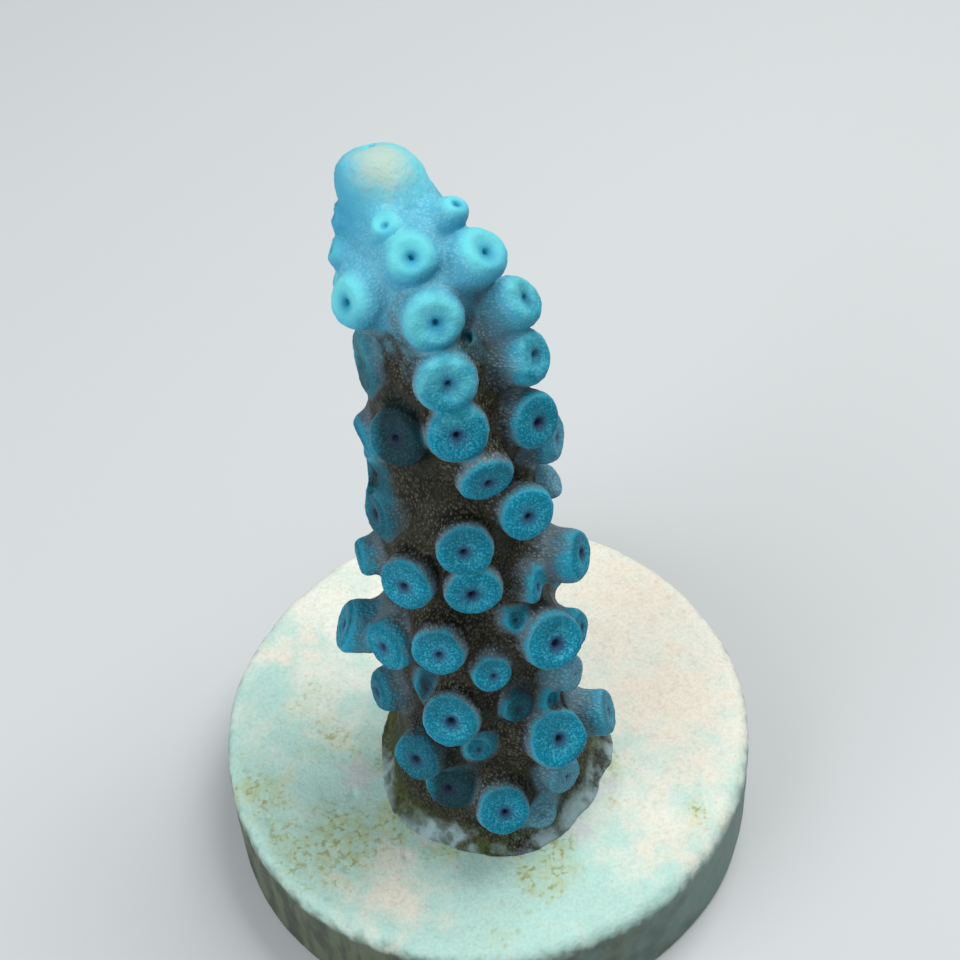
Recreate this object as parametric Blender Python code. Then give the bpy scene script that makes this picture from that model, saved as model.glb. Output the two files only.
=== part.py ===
"""A finger-shaped Acropora branch grown on a round ceramic disc.

The branch is one grown piece: a leaning stem with an encrusting foot, a large
rounded corallite at its tip, and tube-shaped corallites all round it.
The origin is the middle of the disc's underside, +Z is up and -Y is the front.
"""
import math
import random

import bmesh
import bpy
from mathutils import Vector

MM = 0.001  # every size below is in millimetres

# The disc
DISC_RADIUS = 15.0
DISC_HEIGHT = 6.5
DISC_TOP_ROUNDING = 0.7
DISC_FOOT_CHAMFER = 0.3
DISC_SIDES = 48

# The stem
CLEARANCE = 0.3  # between the disc's top and the coral's flat underside
STEM_SIDES = 16
STEM_RING_STEP = 2.2
UPRIGHT_UNTIL = 4.0  # below this height the rings turn level, to sit flat on the disc
STEM_POINTS = (  # places that the centre line passes through, from the disc's top to the tip
    (0.2, -2.8, 6.5), (-0.1, -2.2, 12.0), (-0.4, -1.3, 18.0), (-0.6, -0.2, 24.0),
    (-0.8, 1.1, 30.0), (-1.3, 2.6, 35.5), (-2.5, 4.3, 40.0), (-3.6, 6.3, 43.35),
)
STEM_RADII = (  # height along the centre line, radius
    (0.0, 5.6), (3.0, 5.0), (8.0, 4.4), (16.0, 4.0), (24.0, 3.7), (30.0, 3.3), (35.0, 2.45),
    (36.8, 2.0), (38.7, 2.08),
)

# The encrusting foot
FOOT_RADIUS = 6.3
FOOT_LOBES = ((1, -0.3, 0.0), (2, 0.35, 90.0), (5, 0.12, 20.0))  # lobes of its margin: depth, bearing
FOOT_EDGE = 0.4  # thickness at the margin
FOOT_TOP = 1.6  # height where the foot has nearly run into the stem
FOOT_TOP_SHARE = 0.35  # of the margin's outline still in the ring there

# The tip corallite
TIP_RADIUS = 2.05
TIP_SECTION = ((1.5, 1.0), (0.6, 0.86), (0.0, 0.5))  # distance from the end, part of the radius
TIP_PORE_RADIUS = 0.45
TIP_PORE = (0.2, 1.0)  # depths of its lip and its floor

# Corallites seen from the front. Each row gives where the rim's centre is: height along the
# stem and bearing from the front, positive towards +X; then how far the rim stands off the
# stem, the rim's diameter, and how far the tube leans up and sideways, in degrees.
CORALLITES = (
    (35.6, 4, 0.6, 1.3, 50, 0), (35.4, 62, 1.5, 1.6, 45, 0), (36.2, -72, 0.4, 0.9, 45, 0),
    (34.9, -68, 0.8, 1.3, 40, 0), (34.4, 15, 1.4, 2.5, 30, 0), (33.5, 58, 2.2, 2.8, 34, 0),
    (33.6, -82, 0.8, 1.8, 35, 0), (33.2, -38, 1.7, 2.8, 20, 0), (31.8, 13, 2.0, 3.0, 10, 0),
    (30.8, 69, 2.2, 2.7, 25, 0), (30.0, 30, 0.2, 0.7, 45, 0), (29.2, 8, 2.2, 3.0, 8, 0),
    (29.0, 80, 0.5, 0.8, 30, 0), (28.8, -72, 0.4, 2.7, 5, 0), (28.6, 60, 2.2, 2.7, 12, 0),
    (26.9, 8, 2.2, 3.0, 8, 0), (26.5, -26, 1.8, 2.9, 10, 0), (26.0, 50, 2.2, 2.7, 10, -12),
    (24.5, -75, 0.8, 2.2, -15, 0), (24.2, 18, 2.2, 2.8, -18, 0), (23.8, 72, 1.8, 2.6, 5, 0),
    (22.4, -72, 0.3, 2.0, 5, 0), (21.8, 36, 2.2, 2.8, 10, -14), (20.9, 80, 1.15, 1.7, 30, 0),
    (20.8, 3, 2.2, 2.8, 8, 0), (20.6, -62, 0.8, 2.4, 5, 0), (19.5, -24, 0.1, 0.5, 0, 0),
    (18.4, 5, 2.2, 2.9, 2, 0), (18.6, -28, 2.2, 2.9, 5, 0), (17.2, -78, 1.5, 2.0, 0, 0),
    (17.2, 68, 2.5, 2.7, 10, 0), (16.8, 43, 1.4, 1.8, 5, 30), (15.0, 30, 0.8, 1.0, 20, 0),
    (14.8, -15, 2.2, 2.8, 8, 0), (13.8, -46, 2.0, 2.7, 8, 0), (13.8, -72, 2.7, 2.8, 25, -15),
    (13.9, 41, 2.4, 3.1, 22, -20), (12.5, 66, 2.1, 2.0, 10, 0), (12.6, 10, 1.5, 2.0, 12, 0),
    (10.8, -30, 0.7, 1.5, 10, 0), (10.4, -13, 2.2, 3.0, 20, 0), (9.5, 23, 1.0, 1.6, 10, 0),
    (9.5, 62, 1.6, 2.0, 5, 0), (9.0, -67, 1.5, 2.4, 5, 0), (8.4, 47, 0.7, 1.2, 5, 20),
    (7.4, 37, 2.2, 3.2, 30, -12), (7.2, -33, 2.1, 2.7, 15, 0), (7.0, -3, 0.5, 1.2, 30, 0),
    (6.2, 70, 2.6, 2.5, 15, 10), (4.6, -22, 1.0, 2.6, 20, 0), (4.1, 6, 2.0, 2.8, 30, 0),
    (3.8, 42, 1.4, 2.2, 5, 0), (2.0, 26, 1.0, 1.7, 30, 0),
)

# Corallites round the back follow a spiral, and fill the room that the rows above leave
SPIRAL_COUNT = 74
SPIRAL_TURN = 137.5
SPIRAL_START = (3.0, 40.0)  # height, bearing
SPIRAL_RISE = 0.44
BACK_FROM_BEARING = 95.0
BACK_DIAMETERS = ((0.0, 2.9), (25.0, 2.7), (31.0, 2.4), (36.5, 1.2))  # height, rim diameter
BACK_STANDOFFS = ((0.0, 2.1), (20.0, 2.0), (31.0, 1.5), (36.5, 0.5))  # height, stand-off
BACK_LEANS = ((0.0, 8.0), (22.0, 10.0), (31.0, 25.0), (36.5, 42.0))  # height, upward lean
# Those near the sides are narrower and stand off less, and stay hidden behind the rows above
SIDE_WIDTHS = ((95.0, 0.76), (120.0, 0.86), (150.0, 1.0))  # bearing, part of the diameter
SIDE_STANDOFFS = ((95.0, 0.28), (120.0, 0.45), (137.0, 0.6), (155.0, 1.0))
SPACING = 1.15  # least distance between two rims' centres, in mean diameters
SHIFT_ALONG = (-0.4, 0.4)  # variation in height, bearing, stand-off, diameter, lean and swing
SHIFT_ROUND = (-6.0, 6.0)
STANDOFF_SHARE = (0.6, 1.15)
DIAMETER_SHARE = (0.7, 1.05)
EXTRA_LEAN = (-7.0, 9.0)
SWING = (-8.0, 8.0)
RANDOM_SEED = 5

# A corallite's section, as parts of its radius (across) and of its diameter (along)
CORALLITE_SIDES = 9
SMALL_SIDES = 6
SMALL_DIAMETER = 1.7
ROOT_DEPTH = 1.2  # inside the stem's surface
ROOT_DROP = 0.6  # how far a leaning tube's root lies below its rim, as a part of its full slope
LOWEST_ROOT = 1.5
ROOT_WIDTH = 0.95
SHOULDER = (1.0, 0.14)
RIM = (0.84, 0.0)
FUNNEL = (0.28, 0.1)
PORE_FLOOR = (0.2, 0.4)
SHORTEST_WITH_PORE = 0.6

CORAL_COLOUR = (0.16, 0.33, 0.36, 1.0)
CORAL_ROUGHNESS = 0.55
DISC_COLOUR = (0.55, 0.58, 0.52, 1.0)
DISC_ROUGHNESS = 0.7


def clear_scene():
    for thing in list(bpy.data.objects):
        bpy.data.objects.remove(thing, do_unlink=True)


def plain_material(name, colour, roughness):
    material = bpy.data.materials.new(name)
    material.use_nodes = True
    shader = material.node_tree.nodes["Principled BSDF"]
    shader.inputs["Base Color"].default_value = colour
    shader.inputs["Roughness"].default_value = roughness
    shader.inputs["Metallic"].default_value = 0.0
    return material


def object_from(bm, name):
    """Turn a bmesh in millimetres into an object in metres."""
    bmesh.ops.scale(bm, vec=(MM, MM, MM), verts=bm.verts)
    bmesh.ops.recalc_face_normals(bm, faces=bm.faces)
    mesh = bpy.data.meshes.new(name)
    bm.to_mesh(mesh)
    bm.free()
    thing = bpy.data.objects.new(name, mesh)
    bpy.context.collection.objects.link(thing)
    return thing


def between(table, at):
    """Read a value from pairs of (place, value), on straight lines between the pairs."""
    for (low, first), (high, second) in zip(table, table[1:]):
        if at <= high:
            share = max(0.0, (at - low) / (high - low))
            return first + (second - first) * share
    return table[-1][1]


class CentreLine:
    """A smooth curve through the stem's points, read by the distance along it."""

    STEPS = 24  # between two points
    REACH = 0.8

    def __init__(self, points):
        knots = [Vector(point) for point in points]
        knots = [2 * knots[0] - knots[1]] + knots + [2 * knots[-1] - knots[-2]]
        places = []
        for a, b, c, d in zip(knots, knots[1:], knots[2:], knots[3:]):
            for step in range(self.STEPS):
                t = step / self.STEPS
                places.append(0.5 * (2 * b + (c - a) * t + (2 * a - 5 * b + 4 * c - d) * t ** 2
                                     + (3 * b - a - 3 * c + d) * t ** 3))
        places.append(knots[-2])
        self.table = [(0.0, places[0])]
        for place in places[1:]:
            height, last = self.table[-1]
            self.table.append((height + (place - last).length, place))
        self.length = self.table[-1][0]

    def at(self, height):
        return between(self.table, height)

    def axis(self, height):
        """The stem's direction, from the places a little below and a little above."""
        middle = min(height, self.length - self.REACH)
        return (self.at(middle + self.REACH) - self.at(middle - self.REACH)).normalized()

    def outward(self, height, bearing):
        """The way straight out of the stem at a bearing in degrees from its front."""
        axis = self.axis(height)
        front = Vector((0.0, -1.0, 0.0))
        front = (front - axis * front.dot(axis)).normalized()
        right = axis.cross(front).normalized()
        angle = math.radians(bearing)
        return math.cos(angle) * front + math.sin(angle) * right


def foot_radius(bearing):
    lobes = sum(depth * math.cos(math.radians(count * (bearing - turn)))
                for count, depth, turn in FOOT_LOBES)
    return FOOT_RADIUS + lobes


def loft(bm, rings):
    """Skin a row of rings, each a list of points, and close both ends."""
    loops = [[bm.verts.new(point) for point in ring] for ring in rings]
    for low, high in zip(loops, loops[1:]):
        for i in range(len(low)):
            j = (i + 1) % len(low)
            bm.faces.new((low[i], low[j], high[j], high[i]))
    bm.faces.new(list(reversed(loops[0])))
    bm.faces.new(loops[-1])


def round_ring(centre, normal, upward, radius, sides):
    across = normal.cross(upward).normalized()
    along = across.cross(normal).normalized()
    turns = [math.tau * i / sides for i in range(sides)]
    return [centre + radius * (math.cos(a) * across + math.sin(a) * along) for a in turns]


def stem_ring(line, height, radius_at):
    """A ring round the stem; near the disc it turns level, so that the foot sits flat."""
    level = min(1.0, max(0.0, height - CLEARANCE) / UPRIGHT_UNTIL)
    centre = line.at(height)
    ring = []
    for i in range(STEM_SIDES):
        bearing = 360.0 * i / STEM_SIDES
        out = line.outward(height, bearing)
        flat = Vector((out.x, out.y, 0.0)).normalized()
        ring.append(centre + radius_at(bearing) * flat.lerp(out, level).normalized())
    if level == 0.0:
        for point in ring:
            point.z = DISC_HEIGHT + CLEARANCE
    return ring


def stem_rings(line):
    """The foot's margin, the stem, and the rounded tip with its pore."""
    base = between(STEM_RADII, FOOT_TOP)
    rings = [stem_ring(line, CLEARANCE, foot_radius),
             stem_ring(line, CLEARANCE + FOOT_EDGE, foot_radius),
             stem_ring(line, FOOT_TOP,
                       lambda bearing: base + FOOT_TOP_SHARE * (foot_radius(bearing) - base))]
    shoulder = line.length - TIP_SECTION[0][0]
    count = round((shoulder - FOOT_TOP) / STEM_RING_STEP)
    for i in range(1, count):
        height = FOOT_TOP + (shoulder - FOOT_TOP) * i / count
        rings.append(stem_ring(line, height, lambda bearing: between(STEM_RADII, height)))
    for drop, share in TIP_SECTION:
        rings.append(stem_ring(line, line.length - drop, lambda bearing: share * TIP_RADIUS))
    for depth in TIP_PORE:
        rings.append(stem_ring(line, line.length - depth, lambda bearing: TIP_PORE_RADIUS))
    return rings


def rim_centre(line, row):
    height, bearing, standoff = row[:3]
    reach = between(STEM_RADII, height) + standoff
    return line.at(height) + reach * line.outward(height, bearing)


def back_corallites(line):
    """Rows for the side away from the front, on a spiral with a little variation."""
    draw = random.Random(RANDOM_SEED)
    taken = [(rim_centre(line, row), row[3]) for row in CORALLITES]
    rows = []
    for i in range(SPIRAL_COUNT):
        height = SPIRAL_START[0] + SPIRAL_RISE * i
        bearing = (SPIRAL_START[1] + SPIRAL_TURN * i) % 360.0
        if bearing > 180.0:
            bearing -= 360.0
        width = between(SIDE_WIDTHS, abs(bearing)) * draw.uniform(*DIAMETER_SHARE)
        reach = between(SIDE_STANDOFFS, abs(bearing)) * draw.uniform(*STANDOFF_SHARE)
        row = (height + draw.uniform(*SHIFT_ALONG), bearing + draw.uniform(*SHIFT_ROUND),
               between(BACK_STANDOFFS, height) * reach, between(BACK_DIAMETERS, height) * width,
               between(BACK_LEANS, height) + draw.uniform(*EXTRA_LEAN), draw.uniform(*SWING))
        place = rim_centre(line, row)
        clear = all((place - other).length > SPACING * (row[3] + size) / 2 for other, size in taken)
        if abs(bearing) > BACK_FROM_BEARING and clear:
            rows.append(row)
            taken.append((place, row[3]))
    return rows


def add_corallite(bm, line, row):
    """A tube from inside the stem to a thick rim, with a funnel down to its pore."""
    height, bearing, standoff, diameter, lean, swing = row
    axis = line.axis(height)
    turned = line.outward(height, bearing + swing)
    angle = math.radians(lean)
    normal = (math.cos(angle) * turned + math.sin(angle) * axis).normalized()
    rim = rim_centre(line, row)
    root_height = max(height - ROOT_DROP * standoff * math.tan(angle), LOWEST_ROOT)
    outward = line.outward(root_height, bearing)
    root = line.at(root_height) + (between(STEM_RADII, root_height) - ROOT_DEPTH) * outward
    radius = diameter / 2
    sides = SMALL_SIDES if diameter < SMALL_DIAMETER else CORALLITE_SIDES
    rings = [round_ring(root, outward, axis, ROOT_WIDTH * radius, sides)]
    section = [SHOULDER, RIM]
    if standoff >= SHORTEST_WITH_PORE:
        section += [FUNNEL, PORE_FLOOR]
    for across, along in section:
        rings.append(round_ring(rim - along * diameter * normal, normal, axis, across * radius, sides))
    loft(bm, rings)


def make_disc():
    bm = bmesh.new()
    bmesh.ops.create_cone(bm, cap_ends=True, segments=DISC_SIDES, radius1=DISC_RADIUS,
                          radius2=DISC_RADIUS, depth=DISC_HEIGHT)
    bmesh.ops.translate(bm, vec=(0.0, 0.0, DISC_HEIGHT / 2), verts=bm.verts)
    level = [edge for edge in bm.edges if abs(edge.verts[0].co.z - edge.verts[1].co.z) < 0.01]
    top = [edge for edge in level if edge.verts[0].co.z > DISC_HEIGHT / 2]
    foot = [edge for edge in level if edge.verts[0].co.z < DISC_HEIGHT / 2]
    bmesh.ops.bevel(bm, geom=top, offset=DISC_TOP_ROUNDING, segments=3, profile=0.5, affect="EDGES")
    bmesh.ops.bevel(bm, geom=foot, offset=DISC_FOOT_CHAMFER, segments=1, affect="EDGES")
    disc = object_from(bm, "frag_disc")
    disc.data.materials.append(plain_material("ceramic", DISC_COLOUR, DISC_ROUGHNESS))
    disc.data.shade_smooth()
    disc.data.set_sharp_from_angle(angle=math.radians(35))
    return disc


def make_coral():
    line = CentreLine(STEM_POINTS)
    tubes = bmesh.new()
    for row in [*CORALLITES, *back_corallites(line)]:
        add_corallite(tubes, line, row)
    corallites = object_from(tubes, "corallites")
    corallites.hide_render = True
    corallites.display_type = "WIRE"

    stem = bmesh.new()
    loft(stem, stem_rings(line))
    coral = object_from(stem, "coral_branch")
    coral.data.materials.append(plain_material("coral", CORAL_COLOUR, CORAL_ROUGHNESS))
    coral.data.shade_smooth()
    coral.data.set_sharp_from_angle(angle=math.radians(40))
    union = coral.modifiers.new("grow_together", "BOOLEAN")
    union.operation = "UNION"
    union.solver = "EXACT"
    union.use_self = True
    union.object = corallites
    return coral


clear_scene()
make_disc()
make_coral()
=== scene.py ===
"""A finger-shaped Acropora branch grown on a round ceramic disc: its looks.

The coral's skin is one implicit surface: a stem, an encrusting foot and a tube for each
corallite, melted together, with a dish and a pore carved into each tube. It becomes a mesh,
coloured by where each point lies in the nearest tube. Sizes are in millimetres until then.
"""
import math
import random
from itertools import product

import bpy
import numpy as np
from mathutils import Matrix, Vector


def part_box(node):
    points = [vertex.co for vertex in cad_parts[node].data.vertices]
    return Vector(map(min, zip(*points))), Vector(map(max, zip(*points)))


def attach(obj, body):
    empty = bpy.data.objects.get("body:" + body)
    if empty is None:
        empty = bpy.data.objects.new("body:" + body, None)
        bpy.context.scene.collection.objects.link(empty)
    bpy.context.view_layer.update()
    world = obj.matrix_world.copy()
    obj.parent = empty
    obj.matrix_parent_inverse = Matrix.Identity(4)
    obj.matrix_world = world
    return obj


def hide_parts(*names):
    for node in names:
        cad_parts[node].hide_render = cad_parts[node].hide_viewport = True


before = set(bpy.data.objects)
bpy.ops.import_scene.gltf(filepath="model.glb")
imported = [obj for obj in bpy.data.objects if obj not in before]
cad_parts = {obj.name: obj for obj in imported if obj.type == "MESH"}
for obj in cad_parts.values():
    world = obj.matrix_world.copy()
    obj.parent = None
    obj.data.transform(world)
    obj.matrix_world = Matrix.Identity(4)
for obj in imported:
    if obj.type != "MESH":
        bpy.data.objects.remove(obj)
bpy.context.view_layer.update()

MM = 0.001

# The camera: where it stands, and how far it looks down and is rolled, in degrees
CAMERA_PLACE = (0.487, -64.215, 101.134)
CAMERA_PITCH = 49.0
CAMERA_ROLL = 3.6
CAMERA_LENS = 75.0
CAMERA_SENSOR = 36.0
CAMERA_SEES = (0.005, 10.0)  # from and to, in metres

# The disc
DISC_RADIUS = 15.0
DISC_HEIGHT = 6.5
DISC_TOP_ROUNDING = 0.9
DISC_FLAT = DISC_RADIUS - DISC_TOP_ROUNDING
DISC_SHOULDER = DISC_HEIGHT - DISC_TOP_ROUNDING
DISC_FOOT_CHAMFER = 0.3
UPWARD = (0.0, 0.0, 1.0)

# The stem: places that its centre line passes through, and its radius by height along that line
STEM_POINTS = (
    (0.2, -2.8, 6.5), (-0.1, -2.2, 12.0), (-0.4, -1.3, 18.0), (-0.6, -0.2, 24.0),
    (-0.8, 1.1, 30.0), (-1.3, 2.6, 35.5), (-2.5, 4.3, 40.0), (-3.6, 6.3, 43.35),
)
STEM_RADII = (
    (0.0, 5.6), (3.0, 5.0), (8.0, 4.4), (16.0, 4.0), (24.0, 3.7), (30.0, 3.3), (35.0, 2.45),
    (36.8, 2.0), (38.7, 2.08),
)
TIP_DOME = 2.2  # length of the rounded end
TIP_BLUNTNESS = 2.6  # 2 is an ellipsoid, and more is blunter
TIP_TILT = 0.14  # how much longer its left side is than its right, by the distance across
TIP_DISH = (0.2, 0.6, 0.02)  # radius of its bottom and of its edge, depth
TIP_PORE = (0.204, 0.34, 0.8)
STEM_UNEVENNESS = (0.03, 2.6, 1)  # part of its radius, width, seed

# The encrusting foot
FOOT_RADIUS = 6.3
FOOT_LOBES = ((1, -0.3, 0.0), (2, 0.35, 90.0), (5, 0.12, 20.0))  # how many, depth, bearing
FOOT_RAGGEDNESS = ((0.6, 2.2, 2), (0.22, 0.9, 3), (0.1, 0.4, 7))  # depth, width, seed
FOOT_EDGE = (0.1, -0.1, 0.6)  # its margin's thickness, and where inside it that builds up
FOOT_SLOPE = (0.75, 0.7)  # and how far inside the slope starts
FOOT_ROUNDING = 0.15
FOOT_SUNK = 0.08  # below the disc's top

# Corallites seen from the front: height along the stem, bearing from the front, how far the rim
# stands off the stem, its diameter, how far the tube leans up and sideways, in degrees, and for
# some a tone: below 1 is duller, partly as painted shade, and above 1 paler
CORALLITES = (
    (35.6, 4, 0.6, 1.3, 50, 0), (35.4, 62, 1.5, 1.6, 45, 0), (36.2, -72, 0.4, 0.9, 45, 0),
    (34.9, -68, 0.8, 1.3, 40, 0), (34.4, 15, 1.4, 2.5, 30, 0), (33.5, 58, 2.2, 2.8, 34, 0),
    (33.6, -82, 0.8, 1.8, 35, 0), (33.2, -38, 1.7, 2.8, 20, 0), (31.8, 13, 2.0, 3.0, 10, 0),
    (30.8, 69, 2.2, 2.7, 25, 0), (30.0, 30, 0.2, 0.7, 45, 0, 0.2), (29.2, 8, 2.2, 3.0, 8, 0),
    (29.0, 80, 0.5, 0.8, 30, 0, 0.2), (28.8, -72, 0.4, 2.7, 5, 0, 0.3), (28.6, 60, 2.2, 2.7, 12, 0),
    (26.9, 8, 2.2, 3.0, 8, 0), (26.5, -26, 1.8, 2.9, 10, 0, 0.1), (26.0, 50, 2.2, 2.7, 10, -12),
    (24.5, -75, 0.8, 2.2, -15, 0, 0.85), (24.2, 18, 2.2, 2.8, -18, 0),
    (23.8, 72, 1.8, 2.6, 5, 0, 1.3), (22.4, -72, 0.3, 2.0, 5, 0, 0.1),
    (21.8, 36, 2.2, 2.8, 10, -14), (20.9, 80, 1.15, 1.7, 30, 0, 1.8), (20.8, 3, 2.2, 2.8, 8, 0),
    (20.6, -62, 0.8, 2.4, 5, 0, 0.4), (19.5, -24, 0.1, 0.5, 0, 0, 0.0), (18.4, 5, 2.2, 2.9, 2, 0),
    (18.6, -28, 2.2, 2.9, 5, 0), (17.2, -78, 1.5, 2.0, 0, 0), (17.2, 68, 2.5, 2.7, 10, 0),
    (16.8, 43, 1.4, 1.8, 5, 30), (15.0, 30, 0.8, 1.0, 20, 0, 0.6), (14.8, -15, 2.2, 2.8, 8, 0),
    (13.8, -46, 2.0, 2.7, 8, 0), (13.8, -72, 2.7, 2.8, 25, -15), (13.9, 41, 2.4, 3.1, 22, -20),
    (12.5, 66, 2.1, 2.0, 10, 0), (12.6, 10, 1.5, 2.0, 12, 0), (10.8, -30, 0.7, 1.5, 10, 0, 0.15),
    (10.4, -13, 2.2, 3.0, 20, 0), (9.5, 23, 1.0, 1.6, 10, 0, 0.25), (9.5, 62, 1.6, 2.0, 5, 0, 1.7),
    (9.0, -67, 1.5, 2.4, 5, 0, 0.6), (8.4, 47, 0.7, 1.2, 5, 20), (7.4, 37, 2.2, 3.2, 30, -12),
    (7.2, -33, 2.1, 2.7, 15, 0, 0.5), (7.0, -3, 0.5, 1.2, 30, 0, 0.6),
    (6.2, 70, 2.6, 2.5, 15, 10, 1.3), (4.6, -22, 1.0, 2.6, 20, 0, 0.12), (4.1, 6, 2.0, 2.8, 30, 0),
    (3.8, 42, 1.4, 2.2, 5, 0, 1.6), (2.0, 26, 1.0, 1.7, 30, 0, 1.8),
)

# Corallites round the back follow a spiral, and fill the room that the rows above leave
SPIRAL_COUNT = 74
SPIRAL_TURN = 137.5
SPIRAL_START = (3.0, 40.0)
SPIRAL_RISE = 0.44
BACK_FROM_BEARING = 95.0
BACK_DIAMETERS = ((0.0, 2.9), (25.0, 2.7), (31.0, 2.4), (36.5, 1.2))
BACK_STANDOFFS = ((0.0, 2.1), (20.0, 2.0), (31.0, 1.5), (36.5, 0.5))
BACK_LEANS = ((0.0, 8.0), (22.0, 10.0), (31.0, 25.0), (36.5, 42.0))
# By bearing: those near the sides are narrower and lower, and stay hidden behind the rows above
SIDE_WIDTHS = ((95.0, 0.76), (120.0, 0.86), (150.0, 1.0))
SIDE_STANDOFFS = ((95.0, 0.28), (120.0, 0.45), (137.0, 0.6), (155.0, 1.0))
SPACING = 1.15
SHIFT_ALONG = (-0.4, 0.4)
SHIFT_ROUND = (-6.0, 6.0)
STANDOFF_SHARE = (0.6, 1.15)
DIAMETER_SHARE = (0.7, 1.05)
EXTRA_LEAN = (-7.0, 9.0)
SWING = (-8.0, 8.0)
RANDOM_SEED = 5

# A corallite's shape: R is its radius, D its diameter
ROOT_DEPTH = 1.2
ROOT_DROP = 0.6
LOWEST_ROOT = 1.5
NECKS = (0.94, 1.03)  # the tube's width below the flared rim, in R
FLARE = (0.08, 0.35)  # where the flare starts and its length, in D below the rim
BASE_SPREAD = 0.22  # how much wider the tube's root is, in R
BASE_FROM = 0.3  # where down the tube that starts
BEND_END = 1.5  # how far its bend is carried on, in its length
CROWN = ((0.0, 0.05), (28.0, 0.08), (32.0, 0.2), (38.0, 0.25))  # fall from face to edge, in R
EDGE_ROUNDING = ((0.0, 0.55), (27.0, 0.62), (31.0, 0.95), (38.0, 1.0))  # by height
EDGE_SHARE = (0.75, 1.25)
SMALL_RADIUS = 1.2  # narrower tubes have sharper edges
DISH = ((0.0, 0.06), (27.0, 0.06), (31.0, 0.09), (38.0, 0.08))  # depth in D, by height
DISH_REACH = (0.1, 0.9)  # in R
PORE = 0.13  # depth in D, below the dish
PORE_REACH = (0.06, 0.2)  # in R, for a pore of size 1
PORE_SIZES = (0.5, 0.95)
PORE_SHIFT = (-0.08, 0.08)
HOLLOW_TOP = 0.6  # above the rim
HOLLOW_ROUNDING, TIP_ROUNDING, UNDER_ROUNDING = 0.08, 0.1, 0.02
SEPTA = 24
SEPTA_HEIGHT = ((0.0, 0.03), (27.0, 0.025), (31.0, 0.0))  # by height along the stem
SEPTA_START, SEPTA_END = (0.2, 0.35), (0.5, 0.85)  # in R
WALL_LOBES = (2, 3, 5)
OUT_OF_ROUND = 0.016
MELT_TUBES = 0.18  # how far neighbouring tubes melt together
MELT_ROOTS = 0.9  # how much further they do close to the stem
ROOT_ZONE = (0.3, 1.7)  # distance from the stem over which that fades
MELT_STEM = 1.2  # how far a tube melts into the stem
MELT_FOOT = 1.2
PORE_EDGE = (0.1, 0.42)  # where its dark colour fades out, in R, for a pore of size 1
USUAL_TONE = (0.85, 1.0)
# How far the rim's colour runs down the tube, by bearing, shorter at the front as painted shade on
# the walls there, and how much further near the tip
RIM_COLOUR_AND_SHADE = ((-75.0, 2.1), (-45.0, 1.0), (-25.0, 0.5), (25.0, 0.5), (50.0, 0.8), (75.0, 1.4))
TIP_RIM_COLOUR = (27.0, 32.0, 0.5)
SHORT_RIM_COLOUR = (0.4, 0.45)  # at most this much, and this much more for each mm of standoff
FACE_EDGE_WIDTHS = ((0.0, 0.15), (27.0, 0.18), (32.0, 0.45))  # by height

GRID_STEP = 0.11
GRID_MARGIN = 0.7
STEM_GRID = 4  # grid steps between the places where the stem itself is worked out
FAR = 9.0  # from every tube
TIP_ROOM = 3.0
SETTLE_TURNS = 2
LEAST_SLOPE = 0.2  # squared: where the field is flatter, a point moves less


def smooth(low, high, value):
    """0 below low, 1 above high, and an even curve between."""
    share = np.clip((value - low) / (high - low), 0.0, 1.0)
    return share * share * (3.0 - 2.0 * share)


def melt(a, b, reach):
    """The lower of two fields, rounded off where they are closer than reach."""
    near = np.maximum(reach - np.abs(a - b), 0.0) / reach
    return np.minimum(a, b) - near * near * reach / 4.0


def carve(a, b, reach):
    """The higher of two fields, rounded off in the same way."""
    return -melt(-a, -b, reach)


def unit(vectors):
    return vectors / np.linalg.norm(vectors, axis=-1, keepdims=True)


def table(pairs, at):
    return np.interp(at, *zip(*pairs))


def cell_corners(share):
    """A cell's corners, and how much each counts for places this share of the way through it."""
    for corner in np.ndindex(2, 2, 2):
        yield corner, np.prod(np.where(corner, share, 1.0 - share), axis=1)


def lattice_noise(places, seed):
    """Smooth noise from -1 to 1 with features about one unit wide."""
    cell = np.floor(places).astype(np.int64)
    total = 0.0
    for corner, weight in cell_corners(smooth(0.0, 1.0, places - cell)):
        x, y, z = (cell + corner).T
        mixed = (x * 73856093 ^ y * 19349663 ^ z * 83492791 ^ seed * 2654435761) & 0xFFFFFFFF
        mixed = ((mixed ^ (mixed >> 15)) * 2246822519) & 0xFFFFFFFF
        mixed = ((mixed ^ (mixed >> 13)) * 3266489917) & 0xFFFFFFFF
        total = total + weight * ((mixed ^ (mixed >> 16)) / 0x7FFFFFFF - 1.0)
    return total


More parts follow.
